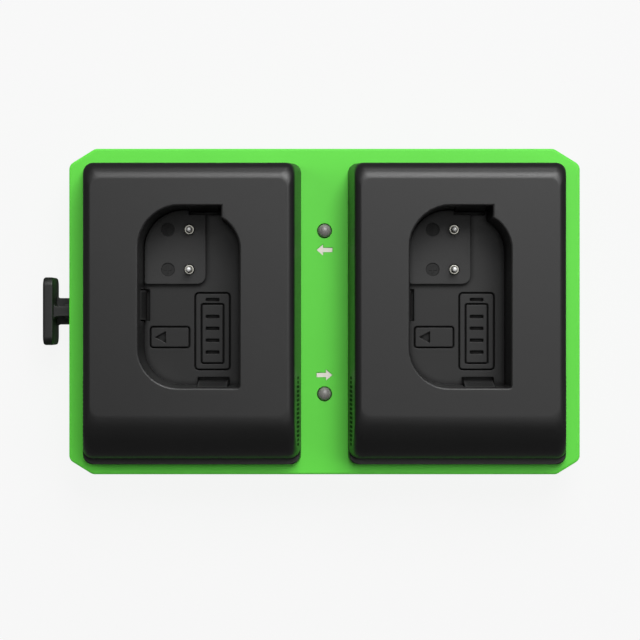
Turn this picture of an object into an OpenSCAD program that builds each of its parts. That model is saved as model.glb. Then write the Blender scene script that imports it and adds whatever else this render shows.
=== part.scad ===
// Dual battery charger: a shallow housing that carries two clip-on battery
// plates, each with a sculpted pocket and two spring contact pins.
// Origin: centre of the whole part's outline, at the surface that it rests on.
// +X runs to the right, +Y to the back, +Z up out of the pockets.

/* [Housing] */
// Width of the housing
housing_w = 120.3; // [118:0.1:140]
// Depth of the housing
housing_d = 76.7; // [75:0.1:90]
// Height of the housing from its underside to its top plane
housing_h = 15.8; // [15.8:0.1:24]
// Wall thickness of the housing
wall_t = 2; // [1.6:0.1:2.6]
// Thickness of the housing's top
top_t = 2; // [1.6:0.1:2.4]
// Width of each back corner's chamfer
back_cut_w = 6.1; // [5:0.1:8]
// Depth of each back corner's chamfer
back_cut_d = 3.8; // [3:0.1:5]
// Width of each front corner's chamfer
front_cut_w = 5.5; // [4:0.1:8]
// Depth of each front corner's chamfer
front_cut_d = 3.4; // [2.4:0.1:5]
// Radius where a chamfer meets a side
corner_r = 1.9; // [1.7:0.1:3.4]
// Radius of the housing's top edge
edge_r = 0.5; // [0.2:0.1:0.9]

/* [Bottom cover] */
// Height of the bottom cover's wall
cover_h = 3; // [2.8:0.1:3.2]
// Thickness of the bottom cover's floor
cover_t = 2; // [1.6:0.1:2.2]
// Height of the lip that registers the cover in the housing
lip_h = 1; // [0.6:0.1:1.4]
// Thickness of that lip
lip_t = 1.1; // [0.9:0.1:1.4]
// Radius of the cover's lower edge
cover_edge_r = 1; // [0.5:0.1:1.3]

/* [Feet] */
// Diameter of a rubber foot
foot_d = 9; // [7:0.5:10]
// Height of a foot below the cover
foot_proud = 1.2; // [0.8:0.1:2]
// Depth of a foot's seat in the cover
foot_sink = 0.8; // [0.5:0.1:1]
// Sideways distance between the feet
foot_pitch_x = 84; // [76:1:88]
// Front-to-back distance between the feet
foot_pitch_y = 54; // [46:1:58]

/* [Battery plates] */
// Width of a plate at its base
plate_w = 51.4; // [50.5:0.1:52]
// Gap between the two plates at their bases
strip_gap = 11; // [10.6:0.1:12]
// Front edge of a plate's base
plate_front = -35.9; // [-36.6:0.1:-35]
// Back edge of a plate's base
plate_back = 34.9; // [34:0.1:35.4]
// Height of a plate above the housing
plate_h = 14; // [12:0.5:18]
// How far a plate's side leans in over its height
plate_draft = 1.5; // [0.8:0.1:2.4]
// How far a plate's back leans in over its height
back_draft = 0.7; // [0.3:0.1:1.2]
// Corner radius of a plate, seen from above
plate_r = 2.3; // [1.8:0.1:4]
// Radius of a plate's upper side edges
side_edge_r = 1.6; // [0.8:0.1:2.4]
// Radius of a plate's upper back edge
back_edge_r = 3.8; // [1.5:0.1:5]
// Radius of the big curve down a plate's front
front_curve_r = 10.6; // [8:0.2:11]
// How far the front lip stands out below that curve
lip_reach = 1.5; // [0.8:0.1:2]
// Height of the front lip
plate_lip_h = 2.4; // [2:0.1:3]
// Radius of the front lip's edge
plate_lip_r = 0.7; // [0.4:0.1:1.4]
// Wall thickness of a plate
plate_t = 2; // [1.6:0.1:2.4]

/* [Battery pocket] */
// Width of a pocket
pocket_w = 23.3; // [22.8:0.1:23.8]
// Front edge of a pocket
pocket_front = -17.6; // [-18.4:0.1:-17]
// Back edge of a pocket
pocket_back = 24.3; // [23.9:0.1:25]
// Depth of the pocket floor below the housing's top plane
pocket_sink = 2; // [1.4:0.1:2.4]
// Radius of the pocket's front left corner
pocket_front_r = 9.3; // [7:0.1:10]
// Radius of the pocket's back left corner
pocket_back_r = 9.6; // [7:0.1:10]
// Radius of the pocket's back right shoulder
shoulder_r = 8.7; // [7:0.1:9]
// How far the pocket's back edge stops short of its right side
shoulder_w = 4.2; // [3.4:0.1:5]
// Height on the right side where the shoulder starts
shoulder_y = 14.1; // [13:0.1:15]
// How far the pocket narrows down to its floor, on each side
pocket_draft = 0.3; // [0.1:0.05:0.5]
// Radius of the pocket's rim
rim_r = 0.45; // [0.2:0.05:0.8]
// Thickness of the pocket's floor
floor_t = 2; // [1.6:0.1:2.2]
// Wall round the pocket, under the plate
pocket_wall_t = 1.8; // [1.4:0.1:2.2]
// Width of each latch's window in the pocket's walls
latch_w = 7.55; // [6:0.1:8]
// Slit on each side of a latch
slit_w = 0.35; // [0.2:0.05:0.6]
// Depth of the latches' slots in the pocket floor
slot_depth = 1.6; // [0.6:0.1:1.7]
// Height of the latches' windows above the pocket floor
window_h = 9.6; // [6:0.1:11]
// How far the latches' windows go into the walls
window_depth = 0.7; // [0.4:0.1:1]
// Gap between a latch and the far side of its slot
latch_gap = 0.65; // [0.4:0.05:0.7]
// Width of the engraved lines
groove_w = 0.4; // [0.25:0.05:0.6]
// Depth of the engraved lines
groove_depth = 1; // [0.15:0.05:1.2]

/* [Contact block] */
// Right side of the contact block, from the plate's middle
pad_right = 3.2; // [2.8:0.1:3.6]
// Front side of the contact block
pad_front = 6.5; // [5.8:0.1:7]
// Height of the contact block above the pocket floor
pad_h = 1.6; // [1.2:0.1:2]
// Gap between the contact block and the pocket's walls
pad_gap = 0.15; // [0.1:0.05:0.3]
// Corner radius of the contact block
pad_r = 2; // [1:0.1:2.6]
// Place of the contact pins across the plate
pin_x = -0.66; // [-1:0.02:-0.4]
// Place of the back contact pin
pin_back_y = 19.3; // [18.8:0.1:19.8]
// Distance between the two contact pins
pin_pitch = 9.4; // [9:0.1:9.8]
// Place of the polarity discs across the plate
disc_x = -5.7; // [-6:0.1:-5.4]
// Diameter of a polarity disc
disc_d = 3.1; // [2.6:0.1:3.6]
// Depth of a polarity disc
disc_depth = 0.5; // [0.3:0.1:0.6]
// Width of the strokes of the polarity signs
sign_w = 0.4; // [0.3:0.05:0.6]

/* [Spring pins] */
// Diameter of a contact pin's tip
tip_d = 1.15; // [1:0.05:1.2]
// Diameter of the shoulder that keeps a pin in its barrel
shoulder_d = 1.5; // [1.4:0.05:1.6]
// Length of that shoulder
shoulder_len = 1; // [0.8:0.1:1.4]
// Height of a pressed pin's tip above its barrel
tip_left = 1.3; // [1:0.1:1.8]
// Travel of a contact pin
pin_travel = 2; // [1.5:0.1:2.2]
// Running clearance round a pin
pin_clear = 0.05; // [0.03:0.01:0.08]
// Outer diameter of a barrel
barrel_d = 2.1; // [2:0.05:2.3]
// How far a barrel stands out of the contact block
barrel_proud = 0.4; // [0.2:0.1:0.6]
// Thickness of a barrel's neck and foot
barrel_t = 0.4; // [0.3:0.05:0.5]
// Depth of the mouth above a barrel's neck
mouth_depth = 0.5; // [0.3:0.1:0.6]
// Thickness of the rim round that mouth
mouth_rim_t = 0.22; // [0.15:0.01:0.3]
// How far a barrel reaches out below its board
barrel_tail = 0.5; // [0.3:0.1:0.7]
// Wire of the pin springs
spring_wire = 0.16; // [0.12:0.01:0.18]
// Turns of a pin spring
spring_turns = 6; // [4:1:8]

/* [Lamps and arrows] */
// Diameter of a lamp's dome
lamp_d = 3.1; // [2.6:0.1:3.6]
// Gap round a lamp's dome
lamp_gap = 0.2; // [0.1:0.05:0.3]
// Height of a lamp's dome above the housing
lamp_proud = 1.1; // [0.2:0.1:1.5]
// Place of the back lamp
lamp_back_y = 19; // [18:0.1:21]
// Place of the front lamp
lamp_front_y = -19.4; // [-21:0.1:-18]
// Place of the back arrow
arrow_back_y = 14.5; // [12.5:0.1:14.6]
// Place of the front arrow
arrow_front_y = -14.95; // [-15.4:0.05:-13]
// Length of an arrow
arrow_len = 3.7; // [3:0.1:5]
// Width of an arrow's head
arrow_head_w = 2.6; // [2:0.1:3]
// Length of an arrow's head
arrow_head_len = 1.5; // [1:0.1:2]
// Width of an arrow's shaft
arrow_shaft_w = 1; // [0.7:0.1:1.4]
// Depth of an arrow's recess
arrow_depth = 0.5; // [0.3:0.1:0.8]

/* [Side post] */
// Distance from the housing's side to the post's bar
post_stand = 4.05; // [3.5:0.05:6]
// Thickness of the post's bar
post_t = 2.55; // [2.2:0.05:3.5]
// Length of the post's bar
post_len = 16.1; // [13:0.1:20]
// Height of the post's bar
post_h = 12.4; // [9:0.1:12.5]
// Radius of the bar's edges
post_edge_r = 0.6; // [0.3:0.1:0.8]
// Radius where the stem meets the bar
stem_root_r = 0.8; // [0.4:0.1:1.2]
// Depth of the bar's upper edge below the housing's top plane
post_drop = 3; // [2.6:0.1:3.1]
// Width of the post's stem
stem_w = 6.35; // [5:0.05:8]
// Thickness of the stem's middle rib
stem_rib_t = 2.27; // [1.8:0.01:3]
// Thickness of the stem's lower web
stem_web_t = 2; // [1.5:0.1:3]

/* [Circuit] */
// Width of the main board
board_w = 92; // [88:1:94]
// Front edge of the main board
board_front = -30; // [-31:0.5:-28]
// Back edge of the main board
board_back = 33.5; // [32.5:0.5:34]
// Thickness of the main board
board_t = 1.6; // [1.2:0.1:1.6]
// Space between the main board and the wells above it
board_space = 2; // [1.9:0.1:2.4]
// Thickness of a plate's contact board
contact_board_t = 1.2; // [1:0.1:1.4]
// Width of the input socket
socket_w = 9; // [8.6:0.1:9.4]
// Height of the input socket
socket_h = 3.2; // [3:0.1:3.4]
// Depth of the input socket
socket_depth = 7.4; // [7:0.1:9]

/* [Screws] */
// Diameter of a housing screw's thread
screw_d = 2.2; // [2:0.1:2.6]
// Diameter of a housing screw's head
screw_head_d = 4.2; // [3.8:0.1:4.6]
// Height of a housing screw's head
screw_head_h = 1.4; // [1.2:0.1:1.6]
// Length of a housing screw under its head
screw_len = 8; // [6:0.5:9]
// Distance from a housing screw to the housing's side
screw_inset_x = 6.5; // [6:0.1:7]
// Distance from a housing screw to the housing's front or back
screw_inset_y = 7.2; // [6.8:0.1:8]

/* [Hidden] */

// Small overlap that keeps a cut from ending on a face
cut = 0.5;
// Clearance of a screw in its pilot hole
thread_gap = 0.02;
// Clearance of a screw in a through hole, and of a head in its seat
screw_gap = 0.2;
// Clearance between moulded pieces that fit into each other
fit_gap = 0.2;
// Clearance of a polarity disc in its recess
disc_gap = 0.05;

post_reach = post_stand + post_t;
body_x = post_reach / 2;
top_z = foot_proud + housing_h;
plate_pitch = plate_w + strip_gap;
sides = [-1, 1];

cover_floor_z = -housing_h + cover_t;
split_z = -housing_h + cover_h;

// Levels under a plate, from the pocket floor down
plate_under_z = -pocket_sink - floor_t;
contact_board_z = plate_under_z - contact_board_t;
well_floor_t = 1.2;
barrel_foot_z = contact_board_z - barrel_tail;
well_floor_z = barrel_foot_z - 0.7;
board_top_z = well_floor_z - well_floor_t - board_space;
board_z = board_top_z - board_t;
board_post_h = board_z - cover_floor_z;
header_h = 1.1;
plug_foot_z = board_top_z + header_h;

pad_top_z = -pocket_sink + pad_h;
barrel_top_z = pad_top_z + barrel_proud;
tip_reach = pin_travel + tip_left;
shoulder_top_z = barrel_top_z - mouth_depth - barrel_t;
shoulder_foot_z = shoulder_top_z - shoulder_len;
spring_foot_z = barrel_foot_z + barrel_t;
barrel_bore_r = shoulder_d / 2 + pin_clear;

pin_ys = [pin_back_y, pin_back_y - pin_pitch];
pin_mid_y = pin_back_y - pin_pitch / 2;
plug_w = 8;
plug_d = 3.6;
contact_board_w = 12;
contact_board_len = pin_pitch + 6;
hook_w = 6;
hook_t = 1.6;
hook_root = 0.15;
hook_catch = 0.8;
hook_catch_h = 1.2;
board_screw_x = board_w / 2 - 5;
board_screw_y = 22;
board_post_d = 5;
board_screw_d = 1.8;
board_screw_head_d = 3.4;
board_screw_head_h = 1.2;
boss_d = 6;
cover_pad_h = 1.3;
lamp_flange_d = lamp_d + 1.6;
lamp_flange_t = 0.8;
lamp_chip_w = 3.2;
lamp_chip_d = 1.6;
lamp_chip_h = 0.8;
chip_w = 5;
chip_h = 0.9;
chip_ys = [4, -8];
coil_w = 6.6;
coil_h = 2.9;
coil_r = 1.2;
coil_x = 9;
coil_y = -2;
can_d = 4.8;
can_h = 4.4;
can_x = 8.5;
can_ys = [24, -27];
post_spigot = [3.4, 4.6];
post_screw_d = 2;
post_screw_head_d = 5;
post_spigot_root = 1.6;
post_mid_y = 0.1;
post_r = 2;

// Small step between the pocket's box and the wall that continues it inside a plate
cavity_step = 0.05;

// Outline helpers

function unit(v) = v / norm(v);

// The rounded corner at b, between a and c
function corner_arc(a, b, c, r, steps) =
    let (
        u = unit(a - b),
        v = unit(c - b),
        half = acos(max(-1, min(1, u * v))) / 2,
        middle = b + unit(u + v) * r / sin(half),
        first = b + u * r / tan(half) - middle,
        last = b + v * r / tan(half) - middle,
        start = atan2(first.y, first.x),
        turn = atan2(last.y, last.x) - start,
        sweep = turn > 180 ? turn - 360 : turn < -180 ? turn + 360 : turn
    )
    [for (i = [0:steps]) middle + r * [cos(start + sweep * i / steps), sin(start + sweep * i / steps)]];

// A closed outline with every corner rounded by its own radius
function rounded(points, radii, steps = 6) =
    let (n = len(points))
    [for (i = [0:n - 1])
        each corner_arc(points[(i + n - 1) % n], points[i], points[(i + 1) % n], radii[i], steps)];

function box_points(x0, y0, x1, y1) = [[x0, y0], [x1, y0], [x1, y1], [x0, y1]];

function rounded_box(x0, y0, x1, y1, r, steps = 6) =
    rounded(box_points(x0, y0, x1, y1), [r, r, r, r], steps);

function at_height(points, z) = [for (p = points) [p.x, p.y, z]];

// How far a quarter-round edge of radius r has moved in at the height z below its top
function edge_inset(r, z) = z >= r ? 0 : r - sqrt(max(0, r * r - pow(r - z, 2)));

// A solid skinned over a stack of outlines with the same number of points
module loft(rings) {
    n = len(rings[0]);
    last = len(rings) - 1;
    polyhedron(
        points = [for (ring = rings) each ring],
        faces = concat(
            [[for (i = [0:n - 1]) i]],
            [for (j = [0:last - 1]) for (i = [0:n - 1])
                [j * n + i, (j + 1) * n + i, (j + 1) * n + (i + 1) % n, j * n + (i + 1) % n]],
            [[for (i = [n - 1:-1:0]) last * n + i]]),
        convexity = 6);
}

module plan_box(x0, y0, x1, y1, z0, z1, r = 0.3, steps = 6) {
    translate([0, 0, z0])
        linear_extrude(z1 - z0)
            polygon(rounded_box(x0, y0, x1, y1, r, steps));
}

module centred_box(w, d, z0, z1, r = 0.3) {
    plan_box(-w / 2, -d / 2, w / 2, d / 2, z0, z1, r, 3);
}

module on_body() {
    translate([body_x, 0, top_z])
        children();
}

module on_plate(side) {
    on_body()
        translate([side * plate_pitch / 2, 0, 0])
            children();
}

module at_pin(side, index) {
    on_plate(side)
        translate([pin_x, pin_ys[index], 0])
            children();
}

module at_screws() {
    for (x = sides, y = sides)
        translate([x * (housing_w / 2 - screw_inset_x), y * (housing_d / 2 - screw_inset_y), 0])
            children();
}

module at_board_screws() {
    for (x = sides, y = sides)
        translate([x * board_screw_x, y * board_screw_y, 0])
            children();
}

module at_feet() {
    for (x = sides, y = sides)
        translate([x * foot_pitch_x / 2, y * foot_pitch_y / 2, 0])
            children();
}

// Housing

function housing_outline(inset, r = corner_r) =
    let (
        w = housing_w / 2 - inset,
        d = housing_d / 2 - inset,
        k = inset * 0.45
    )
    rounded(
        [[-w + front_cut_w - k, -d], [w - front_cut_w + k, -d], [w, -d + front_cut_d - k],
         [w, d - back_cut_d + k], [w - back_cut_w + k, d], [-w + back_cut_w - k, d],
         [-w, d - back_cut_d + k], [-w, -d + front_cut_d - k]],
        [for (i = [0:7]) r], 4);

module housing_skin(z0, z1, top_r, foot_r) {
    steps = 3;
    loft(concat(
        foot_r > 0
            ? [for (i = [0:steps]) let (a = 90 * i / steps)
                at_height(housing_outline(foot_r * (1 - sin(a))), z0 + foot_r * (1 - cos(a)))]
            : [at_height(housing_outline(0), z0)],
        top_r > 0
            ? [for (i = [0:steps]) let (a = 90 * i / steps)
                at_height(housing_outline(top_r * (1 - cos(a))), z1 - top_r * (1 - sin(a)))]
            : [at_height(housing_outline(0), z1)]));
}

function well_box(gap) =
    let (g = pocket_wall_t + gap)
    [-pocket_w / 2 - g, pocket_front - g, pocket_w / 2 + g, pocket_back + g];

module well_block(gap, z0, z1, r = 3) {
    b = well_box(gap);
    plan_box(b[0], b[1], b[2], b[3], z0, z1, r, 6);
}

// Each hook: where it grows from the inner face of a plate's wall, and the way it faces
hooks = [[plate_front + lip_reach + plate_t, 90], [plate_back - plate_t, -90]];

module at_hooks() {
    for (hook = hooks)
        translate([0, hook[0], 0])
            rotate(hook[1])
                children();
}

module hook_slots() {
    at_hooks()
        plan_box(-hook_catch - fit_gap, -hook_w / 2 - fit_gap, hook_t + fit_gap, hook_w / 2 + fit_gap,
            -top_t - cut, cut);
}

module arrow(grow, z0, z1) {
    tip = arrow_len / 2 + grow;
    neck = arrow_len / 2 - arrow_head_len - grow;
    translate([0, 0, z0])
        linear_extrude(z1 - z0)
            polygon([[tip, 0], [neck, arrow_head_w / 2 + grow], [neck, arrow_shaft_w / 2 + grow],
                [-tip, arrow_shaft_w / 2 + grow], [-tip, -arrow_shaft_w / 2 - grow],
                [neck, -arrow_shaft_w / 2 - grow], [neck, -arrow_head_w / 2 - grow]]);
}

module at_arrows() {
    translate([0, arrow_back_y, 0])
        rotate(180)
            children();
    translate([0, arrow_front_y, 0])
        children();
}

module lamp_places() {
    for (y = [lamp_back_y, lamp_front_y])
        translate([0, y, 0])
            children();
}

socket_z = board_top_z;
socket_back_y = housing_d / 2 - 0.8;
post_mid_z = -post_drop - post_h / 2;
post_fix_z = -housing_h / 2;
stem_foot_z = split_z + fit_gap;

module top_housing() {
    color("limegreen")
        on_body() {
            difference() {
                union() {
                    difference() {
                        housing_skin(split_z, 0, edge_r, 0);
                        translate([0, 0, split_z - cut])
                            linear_extrude(-top_t - split_z + cut)
                                polygon(housing_outline(wall_t, corner_r - wall_t * 0.6));
                    }
                    for (side = sides)
                        translate([side * plate_pitch / 2, 0, 0])
                            well_block(fit_gap + well_floor_t, well_floor_z - well_floor_t, -top_t / 2, 3.6);
                    at_screws()
                        translate([0, 0, cover_floor_z + cover_pad_h])
                            cylinder(d = boss_d, h = -top_t - cover_floor_z - cover_pad_h + top_t / 2, $fn = 32);
                }
                for (side = sides)
                    translate([side * plate_pitch / 2, 0, 0]) {
                        well_block(fit_gap, well_floor_z, cut);
                        translate([pin_x, pin_mid_y, 0])
                            centred_box(plug_w + 2 * fit_gap, plug_d + 2 * fit_gap,
                                well_floor_z - well_floor_t - cut, well_floor_z + cut);
                        hook_slots();
                    }
                at_screws()
                    translate([0, 0, cover_floor_z])
                        cylinder(d = screw_d + 2 * thread_gap, h = -top_t - cover_floor_z - 1, $fn = 32);
                lamp_places()
                    translate([0, 0, -top_t - cut])
                        cylinder(d = lamp_d + 2 * lamp_gap, h = top_t + 2 * cut, $fn = 32);
                at_arrows()
                    arrow(0.05, -arrow_depth, cut);
                translate([0, housing_d / 2 - wall_t - cut, socket_z + socket_h / 2])
                    rotate([-90, 0, 0])
                        linear_extrude(wall_t + 2 * cut)
                            polygon(rounded_box(-socket_w / 2 - fit_gap, -socket_h / 2 - fit_gap,
                                socket_w / 2 + fit_gap, socket_h / 2 + fit_gap, socket_h / 2, 6));
                translate([-housing_w / 2, post_mid_y, post_fix_z])
                    cube([4 * wall_t, post_spigot.x + 2 * fit_gap, post_spigot.y + 2 * fit_gap], center = true);
            }
        }
}

module bottom_cover() {
    color("limegreen")
        on_body()
            difference() {
                union() {
                    difference() {
                        housing_skin(-housing_h, split_z, 0, cover_edge_r);
                        translate([0, 0, cover_floor_z])
                            linear_extrude(cover_h)
                                polygon(housing_outline(wall_t + lip_t, 1));
                    }
                    translate([0, 0, cover_floor_z])
                        linear_extrude(split_z + lip_h - cover_floor_z)
                            difference() {
                                polygon(housing_outline(wall_t + fit_gap, 1.2));
                                polygon(housing_outline(wall_t + lip_t, 1));
                            }
                    at_screws()
                        translate([0, 0, cover_floor_z - cover_t / 2])
                            cylinder(d = boss_d + 2, h = cover_t / 2 + cover_pad_h, $fn = 32);
                    at_board_screws()
                        translate([0, 0, cover_floor_z - cover_t / 2])
                            cylinder(d = board_post_d, h = cover_t / 2 + board_post_h, $fn = 32);
                }
                at_screws() {
                    translate([0, 0, -housing_h - cut])
                        cylinder(d = screw_d + 2 * screw_gap, h = cover_h + 2 * cut + cover_pad_h, $fn = 32);
                    translate([0, 0, -housing_h - cut])
                        cylinder(d = screw_head_d + 2 * screw_gap, h = screw_head_h + 0.2 + cut, $fn = 32);
                }
                at_board_screws()
                    translate([0, 0, -housing_h + 0.8])
                        cylinder(d = board_screw_d + 2 * thread_gap, h = housing_h, $fn = 32);
                at_feet()
                    translate([0, 0, -housing_h - cut])
                        cylinder(d = foot_d + 0.1, h = foot_sink + cut, $fn = 48);
            }
}

// Battery plates

// Front edge of a plate's skin at the height z, moved in by t
function front_at(z, t) =
    let (
        face = plate_front + lip_reach,
        rise = z - (plate_h - front_curve_r),
        r = front_curve_r - t
    )
    rise <= 0 ? face + t : face + front_curve_r - sqrt(max(0, r * r - rise * rise));

function skin_ring(z, t, front, steps) =
    let (
        half = plate_w / 2 - plate_draft * z / plate_h - edge_inset(side_edge_r, plate_h - z) - t,
        back = plate_back - back_draft * z / plate_h - edge_inset(back_edge_r, plate_h - z) - t
    )
    at_height(rounded_box(-half, front, half, back, max(0.4, plate_r - t * 0.7), steps), z);

// Heights of the skin's rings above the lip, closer together where it curves
skin_turns = [for (a = [0:12:48]) a, for (a = [56:5:86]) a, 90];

module plate_skin() {
    lip_turns = [0, 30, 60, 90];
    lip_foot = plate_lip_h - plate_lip_r;
    loft(concat(
        [skin_ring(0, 0, plate_front, 5)],
        [for (a = lip_turns)
            skin_ring(lip_foot + plate_lip_r * sin(a), 0, plate_front + plate_lip_r * (1 - cos(a)), 5)],
        [skin_ring(plate_lip_h + 0.15, 0, front_at(plate_lip_h + 0.15, 0), 5)],
        [for (a = skin_turns) let (z = plate_h - front_curve_r * (1 - sin(a)))
            skin_ring(z, 0, front_at(z, 0), 5)]));
}

module plate_cavity() {
    inner_r = front_curve_r - plate_t;
    low = plate_h - front_curve_r;
    loft(concat(
        [skin_ring(-cut, plate_t, front_at(0, plate_t), 2)],
        [for (a = [0:18:90]) let (z = low + inner_r * sin(a))
            skin_ring(z, plate_t, front_at(z, plate_t), 2)]));
}

// The pocket's outline, moved in by t
function pocket_outline(t) =
    let (
        half = pocket_w / 2 - t,
        front = pocket_front + t,
        back = pocket_back - t,
        r = shoulder_r - t,
        centre = [pocket_w / 2 - shoulder_r, shoulder_y],
        step_x = pocket_w / 2 - shoulder_w - t,
        last = acos((step_x - centre.x) / r)
    )
    concat(
        corner_arc([-half, back], [-half, front], [half, front], pocket_front_r - t, 9),
        corner_arc([-half, front], [half, front], [half, back], max(0.2, rim_r + 0.1 - t), 3),
        [for (i = [0:7]) centre + r * [cos(last * i / 7), sin(last * i / 7)]],
        [[step_x, back]],
        corner_arc([half, back], [-half, back], [-half, front], pocket_back_r - t, 9));

module pocket() {
    loft(concat(
        [at_height(pocket_outline(pocket_draft), -pocket_sink)],
        [at_height(pocket_outline(0), plate_h - rim_r)],
        [for (a = [30, 60, 85])
            at_height(pocket_outline(-rim_r * (1 - cos(a))), plate_h - rim_r * (1 - sin(a)))],
        [at_height(pocket_outline(-rim_r), plate_h + cut)]));
}

// Each latch: its middle on the pocket's wall, the way it faces, and how far its slot reaches
latches = [
    [[-pocket_w / 2, 1.5], 0, 1.6],
    [[5, pocket_front], 90, 2.1],
    [[2.95, pocket_back], -90, 1.5],
];

module at_latch(latch) {
    translate(latch[0])
        rotate(latch[1])
            children();
}

module latch_window(latch) {
    at_latch(latch)
        plan_box(-window_depth, -latch_w / 2, latch[2], latch_w / 2,
            -pocket_sink - slot_depth, -pocket_sink + window_h, 0.2, 2);
}

// A springy finger that hangs from the top of its window and leans into the pocket
module latch_finger(latch) {
    low = -pocket_sink - slot_depth / 2;
    high = -pocket_sink + window_h;
    back = -window_depth + slit_w / 2;
    proud = latch[2] - latch_gap;
    at_latch(latch)
        translate([0, latch_w / 2 - slit_w, 0])
            rotate([90, 0, 0])
                linear_extrude(latch_w - 2 * slit_w)
                    polygon([[back, high + 0.4], [back, low], [proud - 0.3, low],
                        [proud, -pocket_sink + 0.2], [proud, -pocket_sink + 0.8],
                        [0.05, high - 0.4], [-0.1, high + 0.4]]);
}

module engraved_frame(x0, y0, x1, y1, r) {
    translate([0, 0, -pocket_sink - groove_depth])
        linear_extrude(groove_depth + cut)
            difference() {
                polygon(rounded_box(x0, y0, x1, y1, r, 4));
                polygon(rounded_box(x0 + groove_w, y0 + groove_w, x1 - groove_w, y1 - groove_w,
                    r - groove_w, 4));
            }
}

arrow_frame = [-10.1, -8.7, -0.5, -3.4];
label_frame = [0.45, -13.9, 9.05, 4.6];

// A plain battery sign in the label's frame
module battery_sign() {
    sign = [label_frame[0] + 1.5, label_frame[1] + 1.5, label_frame[2] - 1.5, label_frame[3] - 2.6];
    bar_pitch = (sign[3] - sign[1] - groove_w) / 5;
    engraved_frame(sign[0], sign[1], sign[2], sign[3], 0.6);
    plan_box(sign[0] + 1.2, sign[3] + groove_w, sign[2] - 1.2, sign[3] + 3 * groove_w,
        -pocket_sink - groove_depth, cut - pocket_sink, 0.2, 2);
    for (i = [1:4])
        plan_box(sign[0] + 3 * groove_w, sign[1] + i * bar_pitch - groove_w,
            sign[2] - 3 * groove_w, sign[1] + i * bar_pitch + groove_w,
            -pocket_sink - groove_depth, cut - pocket_sink, 0.2, 2);
}

module pocket_marks() {
    for (latch = latches)
        latch_window(latch);
    engraved_frame(arrow_frame[0], arrow_frame[1], arrow_frame[2], arrow_frame[3], 0.8);
    engraved_frame(label_frame[0], label_frame[1], label_frame[2], label_frame[3], 1);
    battery_sign();
    translate([0, 0, -pocket_sink - groove_depth])
        linear_extrude(groove_depth + cut)
            translate([arrow_frame[0] + 1.25, (arrow_frame[1] + arrow_frame[3]) / 2])
                polygon([[0, 0], [2.55, -1.35], [2.55, 1.35]]);
}

// The hooks that clip a plate into the slots of the housing
module plate_hooks() {
    catch_z = -top_t - fit_gap;
    at_hooks()
        translate([0, hook_w / 2, 0])
            rotate([90, 0, 0])
                linear_extrude(hook_w)
                    polygon([[-hook_root, catch_z], [-hook_catch, catch_z],
                        [-hook_root, catch_z - hook_catch_h], [hook_t, catch_z - hook_catch_h],
                        [hook_t, plate_h / 4], [-hook_root, plate_h / 4]]);
}

module battery_plate(side) {
    color([0.22, 0.22, 0.22])
        on_plate(side) {
            difference() {
                union() {
                    plate_skin();
                    well_block(0, plate_under_z, plate_t / 2);
                }
                difference() {
                    plate_cavity();
                    well_block(cavity_step, -2 * cut, plate_h);
                }
                pocket();
                pocket_marks();
                for (index = [0, 1])
                    translate([pin_x, pin_ys[index], plate_under_z - cut])
                        cylinder(d = barrel_d + 2 * screw_gap, h = floor_t + 2 * cut, $fn = 32);
            }
            for (latch = latches)
                latch_finger(latch);
            plate_hooks();
        }
}

module left_plate() {
    battery_plate(-1);
}

module right_plate() {
    battery_plate(1);
}

// Contact blocks

module contact_block(side) {
    t = pocket_draft + pad_gap;
    color([0.18, 0.18, 0.18])
        on_plate(side)
            difference() {
                translate([0, 0, -pocket_sink])
                    linear_extrude(pad_h)
                        polygon(concat(
                            corner_arc([-pocket_w, pad_front], [pad_right, pad_front],
                                [pad_right, pocket_back], pad_r, 6),
                            [[pad_right, pocket_back - t]],
                            corner_arc([pocket_w, pocket_back - t], [-pocket_w / 2 + t, pocket_back - t],
                                [-pocket_w / 2 + t, 0], pocket_back_r - t, 9),
                            corner_arc([-pocket_w / 2 + t, pocket_back], [-pocket_w / 2 + t, pad_front],
                                [pad_right, pad_front], 0.6, 3)));
                latch_window(latches[2]);
                for (index = [0, 1]) {
                    translate([pin_x, pin_ys[index], -pocket_sink - cut])
                        cylinder(d = barrel_d + 0.35, h = pad_h + 2 * cut, $fn = 32);
                    translate([disc_x, pin_ys[index], pad_top_z - disc_depth])
                        cylinder(d = disc_d, h = disc_depth + cut, $fn = 48);
                }
            }
}

// The dark polarity discs let into the contact blocks, each with its raised sign
module polarity_marks() {
    sheet_t = disc_depth * 0.5;
    sign_t = disc_depth * 0.8;
    color([0.1, 0.1, 0.1])
        for (side = sides, index = [0, 1])
            on_plate(side)
                translate([disc_x, pin_ys[index], pad_top_z - disc_depth]) {
                    cylinder(d = disc_d - 2 * disc_gap, h = sheet_t, $fn = 48);
                    linear_extrude(sign_t) {
                        square([sign_w, disc_d * 0.6], center = true);
                        if (index == 1)
                            square([disc_d * 0.6, sign_w], center = true);
                    }
                }
}

module left_contact_block() {
    contact_block(-1);
}

module right_contact_block() {
    contact_block(1);
}

module contact_board(side) {
    color("darkgreen")
        on_plate(side)
            translate([pin_x, pin_mid_y, 0])
                difference() {
                    centred_box(contact_board_w, contact_board_len, contact_board_z, plate_under_z, 1);
                    for (y = sides)
                        translate([0, y * pin_pitch / 2, contact_board_z - cut])
                            cylinder(d = barrel_d + 2 * thread_gap, h = contact_board_t + 2 * cut, $fn = 32);
                }
}

module left_contact_board() {
    contact_board(-1);
}

module right_contact_board() {
    contact_board(1);
}

// Spring pins

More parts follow.
